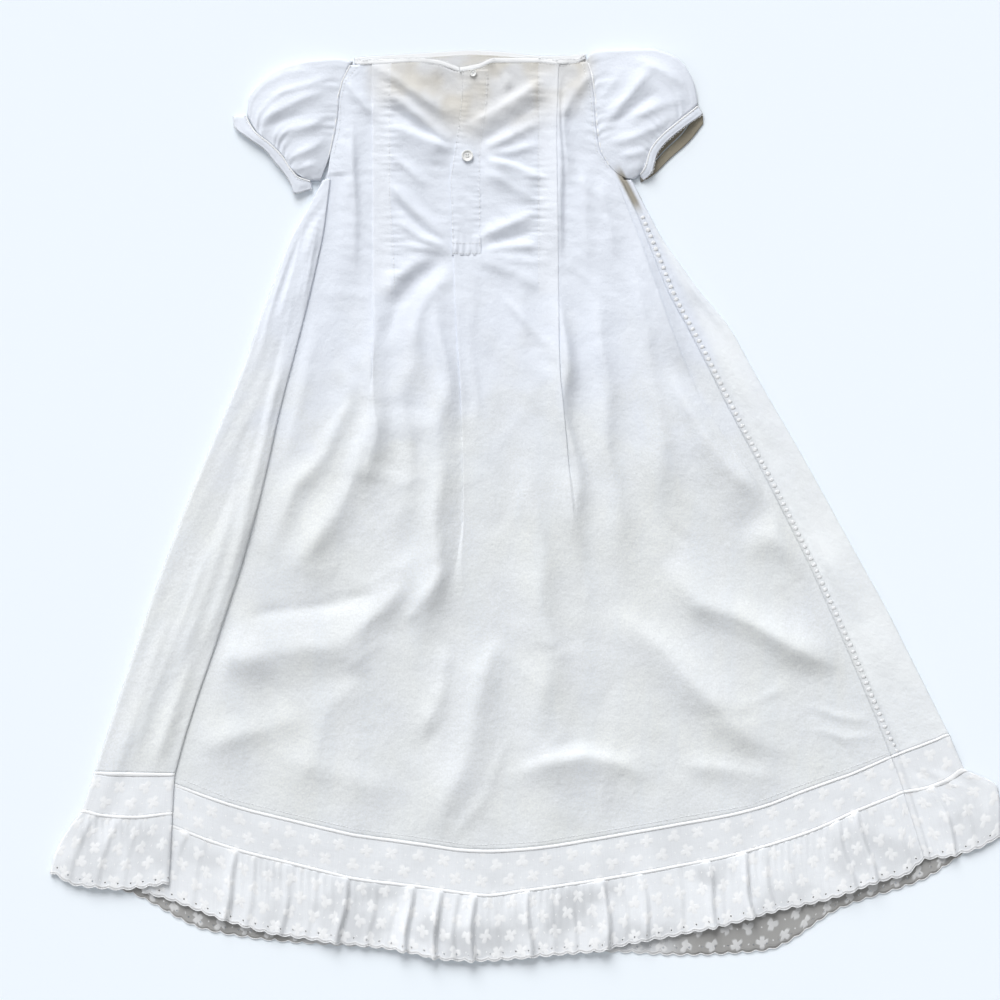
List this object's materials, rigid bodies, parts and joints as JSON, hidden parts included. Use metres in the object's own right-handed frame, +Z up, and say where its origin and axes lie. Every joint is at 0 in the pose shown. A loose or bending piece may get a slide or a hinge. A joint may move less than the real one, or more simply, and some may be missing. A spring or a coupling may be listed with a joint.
{
  "type": "christening gown",
  "caption": "Baby's long white christening gown laid flat back side up: puffed sleeves, buttoned placket, stitched tucks, and a voile band and scalloped ruffle at the hem.",
  "frame": {"origin": "centre of the bounding box at the underside, where the gown rests on a flat surface", "axes": "+Z up out of the back of the gown that faces up, +Y from the hem towards the neck, +X across the gown towards the sleeve whose cuff shows open"},
  "size_m": [0.761, 0.7294, 0.0251],
  "materials": {
    "lawn": "matte",
    "voile": "matte",
    "trim": "matte",
    "pearl": "gloss"
  },
  "bodies": {
    "root": {"front": "lawn", "back": "lawn", "sleeve_left": "lawn", "sleeve_right": "lawn", "placket": "lawn", "cuff_left": "trim", "cuff_right": "trim", "neck_binding": "trim", "piping_upper_front": "trim", "piping_upper_back": "trim", "piping_lower_front": "trim", "piping_lower_back": "trim", "band_front": "voile", "band_back": "voile", "ruffle_front": "voile", "ruffle_back": "voile", "button_middle": "pearl", "button_neck": "pearl"}
  },
  "joints": []
}
